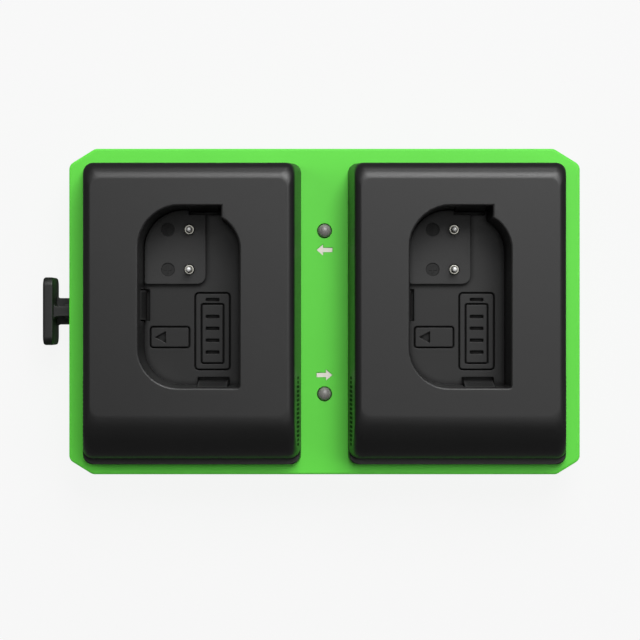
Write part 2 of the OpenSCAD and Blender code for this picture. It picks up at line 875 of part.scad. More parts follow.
module pin(side, index) {
    r = tip_d / 2;
    dome_h = r / 2;
    straight = tip_reach - dome_h;
    foot = shoulder_foot_z - barrel_top_z;
    rise = shoulder_top_z - barrel_top_z;
    color("silver")
        at_pin(side, index)
            translate([0, 0, barrel_top_z])
                rotate_extrude($fn = 32)
                    polygon(concat(
                        [[0, foot], [shoulder_d / 2, foot], [shoulder_d / 2, rise], [r, rise]],
                        [for (a = [0:15:75]) [r * cos(a), straight + dome_h * sin(a)]],
                        [[0, tip_reach]]));
}

// A turned barrel: open mouth, neck that holds the pin's shoulder, bore and closed foot
module barrel(side, index) {
    neck_r = tip_d / 2 + pin_clear;
    color("gold")
        at_pin(side, index)
            rotate_extrude($fn = 32)
                polygon([[0, barrel_foot_z], [barrel_d / 2, barrel_foot_z], [barrel_d / 2, barrel_top_z],
                    [barrel_d / 2 - mouth_rim_t, barrel_top_z], [neck_r, barrel_top_z - mouth_depth],
                    [neck_r, shoulder_top_z], [barrel_bore_r, shoulder_top_z],
                    [barrel_bore_r, spring_foot_z], [0, spring_foot_z]]);
}

// A coil that a circle sweeps along a helix, one ring of points at a time
module pin_spring(side, index) {
    around = 12;
    facets = 6;
    r = barrel_bore_r - spring_wire / 2 - 0.08;
    low = spring_foot_z + spring_wire / 2 + 0.02;
    high = shoulder_foot_z - spring_wire / 2 - 0.02;
    steps = around * spring_turns;
    color("silver")
        at_pin(side, index)
            loft([for (i = [0:steps]) let (a = 360 * i / around, z = low + (high - low) * i / steps)
                [for (k = [0:facets - 1]) let (b = -360 * k / facets, d = r + spring_wire / 2 * cos(b))
                    [d * cos(a), d * sin(a), z - spring_wire / 2 * sin(b)]]]);
}

// Lamps and arrows

module lamp_domes() {
    r = lamp_d / 2;
    color([0.6, 0.6, 0.56])
        on_body()
            lamp_places()
                rotate_extrude($fn = 48)
                    polygon(concat(
                        [[0, board_top_z + lamp_chip_h + 0.3], [r * 0.8, board_top_z + lamp_chip_h + 0.3],
                         [r, -top_t - lamp_flange_t], [lamp_flange_d / 2, -top_t - lamp_flange_t],
                         [lamp_flange_d / 2, -top_t], [r, -top_t]],
                        [for (a = [0:10:80]) [r * cos(a), lamp_proud * sin(a)]],
                        [[0, lamp_proud]]));
}

module lamp_chips() {
    color("white")
        on_body()
            lamp_places()
                centred_box(lamp_chip_w, lamp_chip_d, board_top_z, board_top_z + lamp_chip_h, 0.2);
}

module arrow_inlays() {
    color("ivory")
        on_body()
            at_arrows()
                arrow(0, -arrow_depth, -0.08);
}

// Circuit

module main_board() {
    color("darkgreen")
        on_body()
            difference() {
                plan_box(-board_w / 2, board_front, board_w / 2, board_back, board_z, board_top_z, 2, 4);
                at_board_screws()
                    translate([0, 0, board_z - cut])
                        cylinder(d = board_screw_d + 2 * screw_gap, h = board_t + 2 * cut, $fn = 32);
            }
}

module plug(side) {
    color([0.9, 0.88, 0.8])
        on_plate(side)
            translate([pin_x, pin_mid_y, 0])
                centred_box(plug_w, plug_d, plug_foot_z, contact_board_z);
}

module header(side) {
    color([0.15, 0.15, 0.15])
        on_plate(side)
            translate([pin_x, pin_mid_y, 0])
                centred_box(plug_w + 1, plug_d + 1, board_top_z, plug_foot_z);
}

module left_plug() {
    plug(-1);
}

module right_plug() {
    plug(1);
}

module left_header() {
    header(-1);
}

module right_header() {
    header(1);
}

module input_socket() {
    wall = 0.35;
    color("silver")
        on_body()
            translate([0, socket_back_y, socket_z + socket_h / 2])
                rotate([90, 0, 0])
                    union() {
                        linear_extrude(socket_depth)
                            difference() {
                                polygon(rounded_box(-socket_w / 2, -socket_h / 2, socket_w / 2, socket_h / 2,
                                    socket_h / 2 - 0.05, 6));
                                polygon(rounded_box(-socket_w / 2 + wall, -socket_h / 2 + wall,
                                    socket_w / 2 - wall, socket_h / 2 - wall, socket_h / 2 - wall - 0.05, 6));
                            }
                        translate([0, 0, socket_depth - 1.2])
                            linear_extrude(1.2)
                                polygon(rounded_box(-socket_w / 2 + wall / 2, -socket_h / 2 + wall / 2,
                                    socket_w / 2 - wall / 2, socket_h / 2 - wall / 2, 1, 6));
                        translate([0, 0, 0.8])
                            linear_extrude(socket_depth - 1)
                                square([socket_w - 2.2, 0.7], center = true);
                    }
}

// A small rectangular part soldered to the main board
module on_board(x, y, w, d, h, r = 0.3) {
    on_body()
        translate([x, y, 0])
            centred_box(w, d, board_top_z, board_top_z + h, r);
}

module charge_chips() {
    color([0.12, 0.12, 0.12])
        for (y = chip_ys)
            on_board(0, y, chip_w, chip_w, chip_h);
}

module inductors() {
    color([0.3, 0.3, 0.32])
        for (x = sides)
            on_board(x * coil_x, coil_y, coil_w, coil_w, coil_h, coil_r);
}

module capacitors() {
    color([0.75, 0.72, 0.65])
        on_body()
            for (x = sides, y = can_ys)
                translate([x * can_x, y, board_top_z])
                    cylinder(d = can_d, h = can_h, $fn = 32);
}

// Side post

// The bar's outline, seen from the side, moved in by t
function bar_outline(t) =
    rounded_box(-post_len / 2 + t, -post_h / 2 + t, post_len / 2 - t, post_h / 2 - t, post_r - t * 0.6, 6);

// A rounded bar that lies along Y, with its faces at x = 0 and x = post_t
module post_bar() {
    turns = [0, 30, 60, 90];
    rotate([90, 0, 90])
        loft(concat(
            [for (a = turns) at_height(bar_outline(post_edge_r * (1 - sin(a))), post_edge_r * (1 - cos(a)))],
            [for (a = turns) at_height(bar_outline(post_edge_r * (1 - cos(a))),
                post_t - post_edge_r * (1 - sin(a)))]));
}

// A stem's outline seen from above, flared where it meets the bar
function stem_outline(w) =
    let (
        x0 = -post_stand,
        flare = [for (a = [0:15:90]) [x0 + stem_root_r * (1 - sin(a)), w / 2 + stem_root_r * (1 - cos(a))]]
    )
    concat(
        [[0, -w / 2], [0, w / 2]],
        [for (p = flare) if (p.x > x0 + 0.001) p],
        [[x0, w / 2 + stem_root_r], [x0 - post_t / 2, w / 2 + stem_root_r],
         [x0 - post_t / 2, -w / 2 - stem_root_r], [x0, -w / 2 - stem_root_r]],
        [for (i = [len(flare) - 1:-1:0]) if (flare[i].x > x0 + 0.001) [flare[i].x, -flare[i].y]]);

module side_post() {
    color([0.18, 0.18, 0.18])
        on_body()
            translate([-housing_w / 2, post_mid_y, 0])
                difference() {
                    union() {
                        translate([-post_stand - post_t, 0, post_mid_z])
                            post_bar();
                        translate([0, 0, stem_foot_z])
                            linear_extrude(stem_web_t)
                                polygon(stem_outline(stem_w));
                        translate([0, 0, stem_foot_z])
                            linear_extrude(-post_drop - post_edge_r - stem_foot_z)
                                polygon(stem_outline(stem_rib_t));
                        translate([(wall_t - post_spigot_root) / 2, 0, post_fix_z])
                            cube([wall_t + post_spigot_root, post_spigot.x, post_spigot.y], center = true);
                    }
                    translate([wall_t + cut, 0, post_fix_z])
                        rotate([0, -90, 0])
                            cylinder(d = post_screw_d + 2 * thread_gap,
                                h = wall_t + cut + post_spigot_root - 0.3, $fn = 24);
                }
}

module post_screw() {
    head_h = 1.2;
    color("silver")
        on_body()
            translate([-housing_w / 2 + wall_t + fit_gap, post_mid_y, post_fix_z])
                rotate([0, -90, 0]) {
                    translate([0, 0, -head_h])
                        cylinder(d = post_screw_head_d, h = head_h, $fn = 32);
                    cylinder(d = post_screw_d, h = wall_t + fit_gap + post_spigot_root - 0.5, $fn = 24);
                }
}

// Fasteners and feet

module board_screws() {
    color("silver")
        on_body()
            at_board_screws()
                translate([0, 0, board_top_z]) {
                    difference() {
                        cylinder(d = board_screw_head_d, h = board_screw_head_h, $fn = 32);
                        cross_recess(board_screw_head_h, 1.6);
                    }
                    translate([0, 0, -board_t - 2.2])
                        cylinder(d = board_screw_d, h = board_t + 2.2, $fn = 32);
                }
}

module cross_recess(z, w) {
    for (turn = [0, 90])
        rotate(turn)
            translate([0, 0, z])
                cube([w, 0.4, 1.2], center = true);
}

module housing_screws() {
    color("silver")
        on_body()
            at_screws()
                translate([0, 0, -housing_h + 0.2])
                    difference() {
                        union() {
                            cylinder(d = screw_head_d, h = screw_head_h, $fn = 32);
                            cylinder(d = screw_d, h = screw_head_h + screw_len, $fn = 32);
                        }
                        cross_recess(0, 2.2);
                    }
}

module rubber_feet() {
    color([0.14, 0.14, 0.14])
        on_body()
            at_feet()
                translate([0, 0, -housing_h - foot_proud])
                    rotate_extrude($fn = 48)
                        polygon([[0, 0], [foot_d / 2 - 0.4, 0], [foot_d / 2, 0.4],
                            [foot_d / 2, foot_proud + foot_sink], [0, foot_proud + foot_sink]]);
}

top_housing();
bottom_cover();
left_plate();
right_plate();
left_contact_block();
right_contact_block();
left_contact_board();
right_contact_board();
pin(-1, 0);  // left_back_pin
barrel(-1, 0);  // left_back_barrel
pin_spring(-1, 0);  // left_back_spring
pin(-1, 1);  // left_front_pin
barrel(-1, 1);  // left_front_barrel
pin_spring(-1, 1);  // left_front_spring
pin(1, 0);  // right_back_pin
barrel(1, 0);  // right_back_barrel
pin_spring(1, 0);  // right_back_spring
pin(1, 1);  // right_front_pin
barrel(1, 1);  // right_front_barrel
pin_spring(1, 1);  // right_front_spring
polarity_marks();
lamp_domes();
lamp_chips();
arrow_inlays();
main_board();
left_plug();
right_plug();
left_header();
right_header();
input_socket();
charge_chips();
inductors();
capacitors();
side_post();
post_screw();
board_screws();
housing_screws();
rubber_feet();
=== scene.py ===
"""Dual battery charger in a plain studio, seen from straight above.

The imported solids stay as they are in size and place. This script gives them smooth skins,
moulded finishes and the small raised detail of the plates, and it lights them softly.
"""

import logging
import math
from collections.abc import Iterable, Sequence
from dataclasses import dataclass
from enum import Enum

import bmesh
import bpy
from mathutils import Matrix, Vector
from mathutils.bvhtree import BVHTree


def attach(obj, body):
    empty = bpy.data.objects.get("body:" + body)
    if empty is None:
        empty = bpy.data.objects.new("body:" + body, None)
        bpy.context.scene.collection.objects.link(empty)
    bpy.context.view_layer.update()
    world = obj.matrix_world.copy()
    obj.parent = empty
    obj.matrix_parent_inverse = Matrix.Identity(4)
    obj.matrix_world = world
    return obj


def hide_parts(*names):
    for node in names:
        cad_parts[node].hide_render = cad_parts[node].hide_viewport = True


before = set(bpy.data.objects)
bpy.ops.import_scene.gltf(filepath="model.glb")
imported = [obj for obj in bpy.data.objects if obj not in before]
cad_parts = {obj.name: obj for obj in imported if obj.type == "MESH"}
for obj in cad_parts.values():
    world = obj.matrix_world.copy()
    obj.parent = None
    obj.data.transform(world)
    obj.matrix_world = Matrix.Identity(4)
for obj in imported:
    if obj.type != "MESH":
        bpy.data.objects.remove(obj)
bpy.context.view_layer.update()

MM = 0.001
HOUSING_TOP_MM = round(max(corner[2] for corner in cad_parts["top_housing"].bound_box) / MM, 3)
PLATE_FOOT_Z = HOUSING_TOP_MM * MM
MERGE_DISTANCE = 0.002 * MM
FLAT_ANGLE = math.radians(0.2)
OCCLUSION_SAMPLES = 8
BEVEL_SAMPLES = 4

log = logging.getLogger("charger")


class Side(Enum):
    """The two battery plates, left and right of the middle strip."""

    LEFT = "left"
    RIGHT = "right"

    @property
    def plate(self) -> str:
        """The CAD node of this side's plate."""
        return f"{self.value}_plate"


class Body(Enum):
    """The CAD bodies that pieces ride on."""

    CHARGER = "charger"
    LEFT_BACK = "left_back_plunger"
    LEFT_FRONT = "left_front_plunger"
    RIGHT_BACK = "right_back_plunger"
    RIGHT_FRONT = "right_front_plunger"


def linear(hex_colour: str) -> tuple[float, float, float, float]:
    """Turns an sRGB hex colour to linear light.

    Args:
        hex_colour: six hex digits, with or without a leading hash.

    Returns:
        Linear red, green and blue, with an alpha of 1.
    """
    digits = hex_colour.lstrip("#")
    channels = [int(digits[i:i + 2], 16) / 255 for i in (0, 2, 4)]
    made = [c / 12.92 if c <= 0.04045 else ((c + 0.055) / 1.055) ** 2.4 for c in channels]
    return (made[0], made[1], made[2], 1.0)


def add_node(
    tree: bpy.types.NodeTree,
    kind: str,
    settings: dict[str, object] | None = None,
    values: dict[str | int, object] | None = None,
    links: dict[str | int, bpy.types.NodeSocket] | None = None,
) -> bpy.types.Node:
    """Adds a node to a tree with its settings, socket values and links.

    Args:
        tree: the shader or geometry tree.
        kind: the node's type name.
        settings: properties of the node itself.
        values: default values by input name or index.
        links: sockets that feed the inputs, by input name or index.

    Returns:
        The new node.
    """
    node = tree.nodes.new(kind)
    for name, value in (settings or {}).items():
        setattr(node, name, value)
    for key, value in (values or {}).items():
        node.inputs[key].default_value = value
    for key, socket in (links or {}).items():
        tree.links.new(socket, node.inputs[key])
    return node


@dataclass(frozen=True)
class Finish:
    """A moulded, plated or rubber surface.

    The mottle is the slow change between the colour and the dark over a moulding. The grain
    is the texture left by the mould or the tool. The real one is finer than 0.24 mm, which is
    what a pixel covers, so on the pieces that show it is drawn about that coarse. The streak
    scales both patterns along each axis, and the edge is the small radius that every real
    corner has. The cloud is the share of light that passes under the skin.

    With a groove shade power above 0, painted shade dulls the reflection in grooves and tight
    recesses of the low floor, and a painted highlight turns the tight outer edges above it to
    the edge highlight colour. The low and high heights part the low floor from the rest, and
    the shaded floor share is the share of the reflection that the painted shade leaves there.
    """

    name: str
    colour: str
    dark: str
    slot: str
    roughness: float = 0.5
    rough_spread: float = 0.08
    metallic: float = 0.0
    ior: float = 1.5
    specular: float = 0.5
    grain_mm: float = 0.3
    grain_depth_mm: float = 0.01
    mottle_mm: float = 14.0
    edge_mm: float = 0.2
    streak: tuple[float, float, float] = (1.0, 1.0, 1.0)
    coat: float = 0.0
    cloud: float = 0.0
    # Painted shade: how strongly, and over what reach, the reflection dulls in grooves of the low
    # floor; above 0 it also turns on the painted edge highlight
    groove_shade_power: float = 0.0
    groove_shade_mm: float = 1.3
    # Painted highlight: the colour that tight outer edges turn to, and the reach and range of the
    # edge test
    edge_highlight_colour: str = "#484848"
    edge_highlight_mm: float = 0.8
    edge_highlight_from: float = 0.85
    edge_highlight_full: float = 0.5
    # Painted shade: the share of the reflection left on the low floor
    shaded_floor_share: float = 0.85
    low_z_mm: float = HOUSING_TOP_MM
    high_z_mm: float = HOUSING_TOP_MM + 0.8

    def above(self, tree: bpy.types.NodeTree, place: bpy.types.Node) -> bpy.types.NodeSocket:
        """Tells the upper part of a moulding from its low floor, for the painted shade and
        highlight.

        Args:
            tree: the material's node tree.
            place: the node that gives the object coordinates.

        Returns:
            A socket that is 0 below the low height and 1 over the high one.
        """
        height = add_node(tree, "ShaderNodeSeparateXYZ", links={0: place.outputs["Object"]})
        return add_node(
            tree,
            "ShaderNodeMapRange",
            values={"From Min": self.low_z_mm * MM, "From Max": self.high_z_mm * MM},
            links={"Value": height.outputs["Z"]},
        ).outputs["Result"]

    def painted_groove_shade(self, tree: bpy.types.NodeTree, above: bpy.types.NodeSocket) -> bpy.types.NodeSocket:
        """Paints shade: dulls the reflection on the low floor and in its grooves and tight recesses.

        Args:
            tree: the material's node tree.
            above: the socket that is 1 over the low floor.

        Returns:
            The socket with the specular level.
        """
        opening = add_node(
            tree,
            "ShaderNodeAmbientOcclusion",
            settings={"samples": OCCLUSION_SAMPLES},
            values={"Distance": self.groove_shade_mm * MM},
        )
        power = add_node(
            tree,
            "ShaderNodeMapRange",
            values={"To Min": self.groove_shade_power, "To Max": 0.0},
            links={"Value": above},
        )
        groove = add_node(
            tree,
            "ShaderNodeMath",
            settings={"operation": "POWER"},
            links={0: opening.outputs["AO"], 1: power.outputs["Result"]},
        )
        level = add_node(
            tree,
            "ShaderNodeMapRange",
            values={"To Min": self.specular * self.shaded_floor_share, "To Max": self.specular},
            links={"Value": above},
        )
        return add_node(
            tree,
            "ShaderNodeMath",
            settings={"operation": "MULTIPLY"},
            links={0: groove.outputs[0], 1: level.outputs["Result"]},
        ).outputs[0]

    def painted_edge_highlight(
        self, tree: bpy.types.NodeTree, above: bpy.types.NodeSocket, colour: bpy.types.NodeSocket
    ) -> bpy.types.NodeSocket:
        """Paints a highlight: lightens the tight outer edges above the low floor towards the edge
        highlight colour.

        Args:
            tree: the material's node tree.
            above: the socket that is 1 over the low floor.
            colour: the socket with the colour before the painted highlight.

        Returns:
            The socket with the colour, painted edge highlight included.
        """
        inward = add_node(
            tree,
            "ShaderNodeAmbientOcclusion",
            settings={"samples": OCCLUSION_SAMPLES, "inside": True},
            values={"Distance": self.edge_highlight_mm * MM},
        )
        edge = add_node(
            tree,
            "ShaderNodeMapRange",
            values={"From Min": self.edge_highlight_from, "From Max": self.edge_highlight_full},
            links={"Value": inward.outputs["AO"]},
        )
        share = add_node(
            tree,
            "ShaderNodeMath",
            settings={"operation": "MULTIPLY"},
            links={0: edge.outputs["Result"], 1: above},
        )
        return add_node(
            tree,
            "ShaderNodeMix",
            settings={"data_type": "RGBA"},
            values={7: linear(self.edge_highlight_colour)},
            links={0: share.outputs[0], 6: colour},
        ).outputs[2]

    def build(self) -> bpy.types.Material:
        """Builds the material, or returns the one already made.

        Returns:
            The Blender material of this finish.
        """
        made = bpy.data.materials.get(self.name)
        if made is not None:
            return made
        made = bpy.data.materials.new(self.name)
        made.use_nodes = True
        tree = made.node_tree
        tree.nodes.clear()
        place = add_node(tree, "ShaderNodeTexCoord")
        streaked = add_node(
            tree,
            "ShaderNodeMapping",
            values={"Scale": self.streak},
            links={"Vector": place.outputs["Object"]},
        )
        mottle = add_node(
            tree,
            "ShaderNodeTexNoise",
            values={"Scale": 1 / (self.mottle_mm * MM), "Detail": 3.0, "Roughness": 0.55},
            links={"Vector": streaked.outputs["Vector"]},
        )
        colour = add_node(
            tree,
            "ShaderNodeMix",
            settings={"data_type": "RGBA"},
            values={6: linear(self.dark), 7: linear(self.colour)},
            links={0: mottle.outputs["Fac"]},
        )
        grain = add_node(
            tree,
            "ShaderNodeTexNoise",
            values={"Scale": 1 / (self.grain_mm * MM), "Detail": 4.0, "Roughness": 0.6},
            links={"Vector": streaked.outputs["Vector"]},
        )
        rough = add_node(
            tree,
            "ShaderNodeMapRange",
            values={
                "From Min": 0.3,
                "From Max": 0.7,
                "To Min": max(0.02, self.roughness - self.rough_spread),
                "To Max": min(1.0, self.roughness + self.rough_spread),
            },
            links={"Value": grain.outputs["Fac"]},
        )
        rounded = add_node(
            tree,
            "ShaderNodeBevel",
            settings={"samples": BEVEL_SAMPLES},
            values={"Radius": self.edge_mm * MM},
        )
        bump = add_node(
            tree,
            "ShaderNodeBump",
            values={"Strength": 1.0, "Distance": self.grain_depth_mm * MM},
            links={"Height": grain.outputs["Fac"], "Normal": rounded.outputs["Normal"]},
        )
        shader = add_node(
            tree,
            "ShaderNodeBsdfPrincipled",
            values={
                "Metallic": self.metallic,
                "IOR": self.ior,
                "Specular IOR Level": self.specular,
                "Coat Weight": self.coat,
                "Subsurface Weight": self.cloud,
                "Subsurface Radius": (1.0, 1.0, 1.0),
                "Subsurface Scale": MM,
            },
            links={
                "Base Color": colour.outputs[2],
                "Roughness": rough.outputs["Result"],
                "Normal": bump.outputs["Normal"],
            },
        )
        # Painted shade in the low grooves and recesses, and a painted highlight on the tight outer
        # edges
        if self.groove_shade_power > 0:
            above = self.above(tree, place)
            tree.links.new(self.painted_groove_shade(tree, above), shader.inputs["Specular IOR Level"])
            tree.links.new(self.painted_edge_highlight(tree, above, colour.outputs[2]), shader.inputs["Base Color"])
        output = add_node(tree, "ShaderNodeOutputMaterial")
        tree.links.new(shader.outputs["BSDF"], output.inputs["Surface"])
        return made


# Moulded ABS, coloured through: a fine satin texture that spreads the key light softly
GREEN_ABS = Finish(
    "green_moulded_abs", "#62dd44", "#5dd63f", "housing", roughness=0.5, specular=0.35,
    grain_mm=0.35, grain_depth_mm=0.006, mottle_mm=18.0, edge_mm=0.3,
)
# Moulded ABS with a spark-eroded texture: satin on top, with painted shade that dulls the
# low floor and its grooves, and a painted highlight that greys the tight edges
BLACK_ABS = Finish(
    "black_textured_abs", "#1a1a1a", "#161616", "plate", roughness=0.38,
    grain_mm=0.28, grain_depth_mm=0.012, mottle_mm=16.0, edge_mm=0.25, groove_shade_power=1.4,
)
# Moulded high-temperature nylon, a little lighter and duller than the plate round it, with
# painted shade that dulls its reflection in its grooves and the gap round it
CONTACT_NYLON = Finish(
    "black_contact_nylon", "#1f1f1f", "#1b1b1b", "contact_block", roughness=0.5,
    grain_mm=0.25, grain_depth_mm=0.008, mottle_mm=9.0, edge_mm=0.2, groove_shade_power=1.2,
    edge_highlight_colour="#262626", shaded_floor_share=1.0,
)
# Black fill of the polarity discs: dull, so that the discs read darker than their pads
POLARITY_BLACK = Finish(
    "black_polarity_fill", "#1b1b1b", "#171717", "polarity", roughness=0.6, specular=0.38,
    grain_mm=0.2, grain_depth_mm=0.006, mottle_mm=2.0, edge_mm=0.06,
)
# Painted shade: the pierced dots of the plates' sides are drawn as thin raised dots, near
# black to stand for the shade inside small holes
HOLE_SHADE_BLACK = Finish(
    "painted_hole_shade_dots", "#0c0c0c", "#080808", "plate", roughness=0.8, specular=0.1,
    grain_mm=0.2, grain_depth_mm=0.004, mottle_mm=2.0, edge_mm=0.03,
)
# Moulded glass-filled nylon: dull black with a slight grain, and a painted highlight along
# its tight edges
POST_NYLON = Finish(
    "black_moulded_nylon", "#161616", "#121212", "post", roughness=0.5,
    grain_mm=0.4, grain_depth_mm=0.012, mottle_mm=7.0, edge_mm=0.25, groove_shade_power=0.6,
    edge_highlight_colour="#2c2c2c", low_z_mm=0.0, high_z_mm=1.0,
)
# Satin nickel plating on turned brass: pale and softly shining, with faint turning marks.
# It is only partly metallic, because a full metal this small would mirror the black pocket
NICKEL = Finish(
    "bright_nickel_plate", "#f4f4f2", "#e8e8e6", "pin", roughness=0.4, rough_spread=0.04,
    metallic=0.4, grain_mm=0.2, grain_depth_mm=0.001, mottle_mm=1.5, edge_mm=0.05,
    streak=(0.3, 0.3, 3.0),
)
# The same plating on the barrels, a shade warmer where it is thin
BARREL_NICKEL = Finish(
    "barrel_nickel_plate", "#c6c4bc", "#b4b2a8", "barrel", roughness=0.28, rough_spread=0.06,
    metallic=1.0, grain_mm=0.2, grain_depth_mm=0.001, mottle_mm=1.2, edge_mm=0.05,
    streak=(0.3, 0.3, 3.0),
)
# Drawn spring wire, bright
SPRING_WIRE = Finish(
    "bright_spring_wire", "#c4c4c4", "#b0b0b0", "spring", roughness=0.25, metallic=1.0,
    grain_mm=0.1, grain_depth_mm=0.001, mottle_mm=1.0, edge_mm=0.02,
)
# Zinc-plated steel, with a soft sheen and slight colour drift
ZINC = Finish(
    "zinc_plated_steel", "#b4b4b0", "#9c9c98", "screw", roughness=0.35, metallic=1.0,
    grain_mm=0.25, grain_depth_mm=0.003, mottle_mm=2.0, edge_mm=0.08,
)
# Drawn stainless shell, brushed along its depth
SOCKET_STEEL = Finish(
    "drawn_socket_steel", "#c8c8c6", "#b4b4b2", "socket", roughness=0.28, metallic=1.0,
    grain_mm=0.3, grain_depth_mm=0.003, mottle_mm=3.0, edge_mm=0.08, streak=(1.0, 0.15, 1.0),
)
# Diffusing polycarbonate: cloudy grey, with a smooth skin and a soft highlight
LAMP_LENS = Finish(
    "cloudy_polycarbonate", "#8c8b87", "#7e7d79", "lamp", roughness=0.33, rough_spread=0.03,
    ior=1.58, grain_mm=0.6, grain_depth_mm=0.004, mottle_mm=2.0, edge_mm=0.1, cloud=0.7,
)
# Paint filled into a recess: off-white and dull, slightly uneven
ARROW_PAINT = Finish(
    "filled_arrow_paint", "#f0eee2", "#e4e1d2", "arrow", roughness=0.6,
    grain_mm=0.25, grain_depth_mm=0.02, mottle_mm=1.5, edge_mm=0.08,
)
# Moulded rubber: dark, dull and slightly dusty
FOOT_RUBBER = Finish(
    "moulded_foot_rubber", "#2a2a2a", "#222222", "foot", roughness=0.8,
    grain_mm=0.5, grain_depth_mm=0.03, mottle_mm=4.0, edge_mm=0.3,
)
# Solder mask over glass-epoxy: glossy green with the weave just showing
SOLDER_MASK = Finish(
    "green_solder_mask", "#1f6b3a", "#185a30", "board", roughness=0.3,
    grain_mm=0.9, grain_depth_mm=0.01, mottle_mm=5.0, edge_mm=0.1, coat=0.2,
)
# Moulded epoxy of the chips and headers: dull black, with a fine even grain
CHIP_EPOXY = Finish(
    "moulded_epoxy", "#262626", "#202020", "chip", roughness=0.6,
    grain_mm=0.2, grain_depth_mm=0.008, mottle_mm=2.0, edge_mm=0.1,
)
# Natural nylon of the plugs: creamy, with a soft sheen
PLUG_NYLON = Finish(
    "natural_nylon", "#e6dfca", "#d8d0b8", "connector", roughness=0.45,
    grain_mm=0.3, grain_depth_mm=0.006, mottle_mm=3.0, edge_mm=0.15,
)
# White moulded package of the lamp chips, slightly yellowed
CHIP_WHITE = Finish(
    "white_chip_package", "#f0eee0", "#e4e0cc", "lamp_chip", roughness=0.4,
    grain_mm=0.2, grain_depth_mm=0.004, mottle_mm=1.0, edge_mm=0.05,
)
# Drawn aluminium cans of the capacitors: bright, with marks along the draw
CAN_ALUMINIUM = Finish(
    "drawn_can_aluminium", "#d4d4d4", "#c4c4c4", "capacitor", roughness=0.3, metallic=1.0,
    grain_mm=0.3, grain_depth_mm=0.003, mottle_mm=2.5, edge_mm=0.1, streak=(1.0, 1.0, 0.2),
)


def finished(piece: bpy.types.Object, finish: Finish, body: Body) -> None:
    """Gives a piece its finish and its place on a body.

    Args:
        piece: a mesh object at the origin, with its place in its mesh.
        finish: the surface to give it.
        body: the CAD body that carries it.
    """
    piece.data.materials.clear()
    piece.data.materials.append(finish.build())
    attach(piece, body.value)
    log.info("%s: %s on %s", piece.name, finish.name, body.value)


def settle(piece: bpy.types.Object) -> None:
    """Turns a piece's modifiers into plain mesh and takes them off.

    Args:
        piece: an object with one or more modifiers.
    """
    shaped = piece.evaluated_get(bpy.context.evaluated_depsgraph_get())
    mesh = bpy.data.meshes.new_from_object(shaped)
    piece.modifiers.clear()
    mesh.name = piece.data.name
    piece.data = mesh


def flat_patches(solid: bmesh.types.BMesh) -> dict[bmesh.types.BMFace, float]:
    """Measures the flat patch that each face is a part of.

    Args:
        solid: the mesh, made of triangles.

    Returns:
        The area of its patch in square metres, by face.
    """
    patch: dict[bmesh.types.BMFace, float] = {}
    for first in solid.faces:
        if first in patch:
            continue
        grown = [first]
        patch[first] = 0.0
        # The list grows while it is read, until no flat neighbour is left
        for face in grown:
            for edge in face.edges:
                if edge.is_manifold and edge.calc_face_angle() < FLAT_ANGLE:
                    fresh = [near for near in edge.link_faces if near not in patch]
                    patch.update((near, 0.0) for near in fresh)
                    grown.extend(fresh)
        area = sum(face.calc_area() for face in grown)
        patch.update((face, area) for face in grown)
    return patch


def corner_normals(solid: bmesh.types.BMesh, crease: float) -> list[Vector]:
    """Gives each face corner a normal in which the widest flat patch round it counts most.

    Args:
        solid: the mesh, made of triangles.
        crease: the angle in radians from which an edge stays sharp.

    Returns:
        One normal for each face corner, in the mesh's own order.
    """
    patch = flat_patches(solid)
    soft = {edge for edge in solid.edges if edge.is_manifold and edge.calc_face_angle() < crease}
    normals = []
    for first in solid.faces:
        for corner in first.loops:
            fan = [first]
            # The fan grows while it is read, round the corner to the next sharp edge
            for face in fan:
                for edge in face.edges:
                    if edge in soft and corner.vert in edge.verts:
                        fan.extend(near for near in edge.link_faces if near not in fan)
            pull = sum((face.normal * patch[face] ** 2 for face in fan), Vector())
            normals.append(pull.normalized())
    return normals


@dataclass
class SmoothSkin:
    """A CAD node's own surface, with its curved faces shaded as one."""

    node: str
    finish: Finish
    body: Body = Body.CHARGER
    crease_deg: float = 28.0

    def build(self) -> bpy.types.Object:
        """Copies the node's mesh, merges its triangles and shades its curves smoothly.

        Returns:
            The piece that stands for the node.
        """
        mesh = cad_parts[self.node].data.copy()
        mesh.name = f"{self.node}_skin"
        solid = bmesh.new()
        solid.from_mesh(mesh)
        bmesh.ops.remove_doubles(solid, verts=solid.verts, dist=MERGE_DISTANCE)
        solid.normal_update()
        for face in solid.faces:
            face.smooth = True
        crease = math.radians(self.crease_deg)
        normals = corner_normals(solid, crease)
        solid.to_mesh(mesh)
        solid.free()
        mesh.set_sharp_from_angle(angle=crease)
        mesh.normals_split_custom_set(normals)
        piece = bpy.data.objects.new(f"{self.node}_skin", mesh)
        bpy.context.scene.collection.objects.link(piece)
        finished(piece, self.finish, self.body)
        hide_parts(self.node)
        return piece


@dataclass
class Housing:
    """The green shell, its cover, lamps, arrows, feet, screws and side post."""

    skins: Sequence[tuple[str, Finish]] = (
        ("top_housing", GREEN_ABS),
        ("bottom_cover", GREEN_ABS),
        ("lamp_domes", LAMP_LENS),
        ("polarity_marks", POLARITY_BLACK),
        ("arrow_inlays", ARROW_PAINT),
        ("side_post", POST_NYLON),
        ("rubber_feet", FOOT_RUBBER),
        ("housing_screws", ZINC),
        ("input_socket", SOCKET_STEEL),
    )

    def build(self) -> None:
        """Dresses every piece of the housing."""
        for node, finish in self.skins:
            SmoothSkin(node, finish).build()


